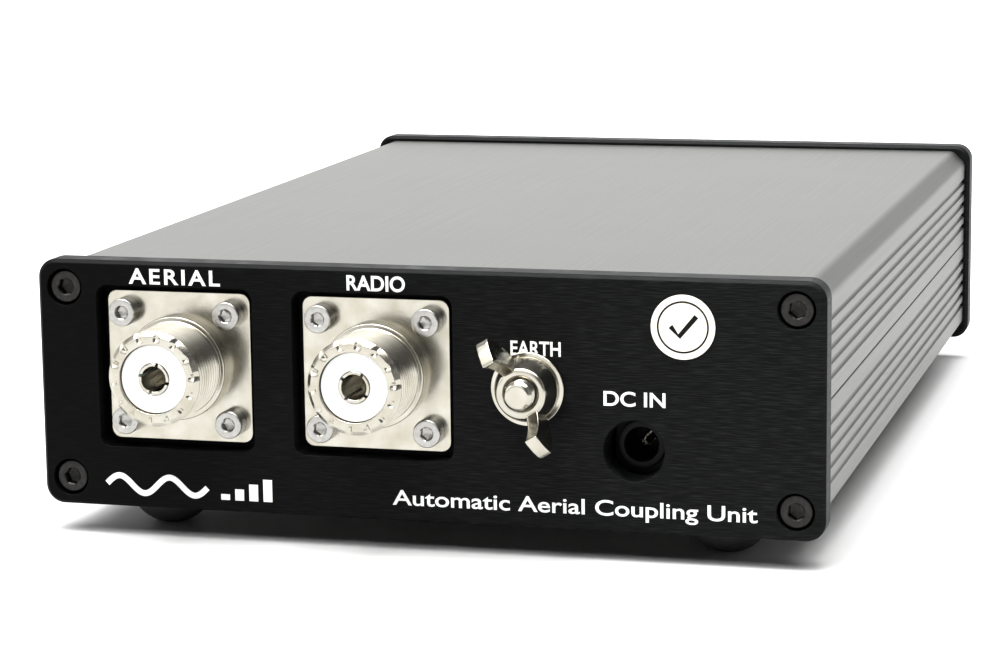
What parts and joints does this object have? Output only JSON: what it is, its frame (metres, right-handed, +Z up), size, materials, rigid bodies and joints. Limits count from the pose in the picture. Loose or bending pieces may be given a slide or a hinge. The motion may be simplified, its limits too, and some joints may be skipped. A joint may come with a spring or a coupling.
{
  "type": "antenna tuner",
  "caption": "Flat silver aluminium box with black end plates, coaxial sockets, a ground terminal with a wing nut, a charging socket, push buttons and rubber feet.",
  "frame": {"origin": "centre of the footprint, on the surface the rubber feet stand on", "axes": "+X to the right when facing the connector plate, +Y from the connector plate towards the control plate, +Z up"},
  "size_m": [0.1338, 0.211, 0.0469],
  "materials": {
    "case_aluminium": "fine bead-blasted and clear anodised extrusion",
    "plate_black": "horizontally brushed, black anodised aluminium",
    "screw_black": "black oxide steel",
    "screw_stainless": "bright stainless steel",
    "nickel": "bright nickel plate, slightly warm",
    "insulator_white": "white fluoropolymer, smooth",
    "plastic_black": "moulded black plastic, satin",
    "rubber_black": "matt black rubber",
    "sticker_white": "white vinyl sticker with a printed ring and tick",
    "print_white": "white screen print",
    "board_green": "green solder mask",
    "relay_case": "moulded cream plastic",
    "coil_core": "coated iron powder with enamelled copper winding",
    "battery_sleeve": "blue heat-shrink sleeve",
    "wire_red": "red wire insulation",
    "lamp_red": "diffused red lens",
    "lamp_green": "diffused green lens"
  },
  "bodies": {
    "housing": {"case_upper_shell": "case_aluminium", "case_lower_shell": "case_aluminium", "front_left_foot": "rubber_black", "front_right_foot": "rubber_black", "rear_left_foot": "rubber_black", "rear_right_foot": "rubber_black", "connector_plate": "plate_black", "control_plate": "plate_black", "connector_plate_screw_upper_left": "screw_black", "connector_plate_screw_upper_right": "screw_black", "connector_plate_screw_lower_left": "screw_black", "connector_plate_screw_lower_right": "screw_black", "control_plate_screw_upper_left": "screw_black", "control_plate_screw_upper_right": "screw_black", "control_plate_screw_lower_left": "screw_black", "control_plate_screw_lower_right": "screw_black", "antenna_socket_shell": "nickel", "antenna_socket_insulator": "insulator_white", "antenna_socket_contact": "nickel", "antenna_socket_screw_upper_left": "screw_stainless", "antenna_socket_screw_upper_right": "screw_stainless", "antenna_socket_screw_lower_left": "screw_stainless", "antenna_socket_screw_lower_right": "screw_stainless", "radio_socket_shell": "nickel", "radio_socket_insulator": "insulator_white", "radio_socket_contact": "nickel", "radio_socket_screw_upper_left": "screw_stainless", "radio_socket_screw_upper_right": "screw_stainless", "radio_socket_screw_lower_left": "screw_stainless", "radio_socket_screw_lower_right": "screw_stainless", "ground_stud": "nickel", "ground_lug": "nickel", "charger_jack_body": "plastic_black", "charger_jack_pin": "nickel", "round_sticker": "sticker_white", "main_board": "board_green", "control_board": "board_green", "relay_1": "relay_case", "relay_2": "relay_case", "relay_3": "relay_case", "relay_4": "relay_case", "relay_5": "relay_case", "relay_6": "relay_case", "matching_coil_1": "coil_core", "matching_coil_2": "coil_core", "matching_coil_3": "coil_core", "power_sensor_coil": "coil_core", "antenna_lead": "wire_red", "radio_lead": "wire_red", "battery_pack": "battery_sleeve", "controller_chip": "plastic_black", "tune_switch": "plastic_black", "power_switch": "plastic_black", "transmit_lamp": "lamp_red", "ready_lamp": "lamp_green"},
    "ground_clamp": {"ground_washer": "nickel"},
    "ground_nut": {"wing_nut": "nickel"},
    "tune_key": {"tune_button": "plastic_black"},
    "power_key": {"power_button": "plastic_black"}
  },
  "joints": [
    {"name": "ground_clamp_slide", "type": "slide", "parent": "housing", "child": "ground_clamp", "axis": [0, -1, 0], "range_m": [0, 0.0032]},
    {"name": "wing_nut_turn", "type": "hinge", "parent": "ground_clamp", "child": "ground_nut", "pos_m": [0.01836, -0.0955, 0.0281], "axis": [0, -1, 0], "range_deg": [0, 1440]},
    {"name": "tune_button_press", "type": "slide", "parent": "housing", "child": "tune_key", "axis": [0, -1, 0], "range_m": [0, 0.0018], "stiffness_N_per_m": 400},
    {"name": "power_button_press", "type": "slide", "parent": "housing", "child": "power_key", "axis": [0, -1, 0], "range_m": [0, 0.0018], "stiffness_N_per_m": 400}
  ],
  "couplings": [
    {"joint": "wing_nut_turn", "follows": "ground_clamp_slide", "rad_per_m": 7854}
  ]
}
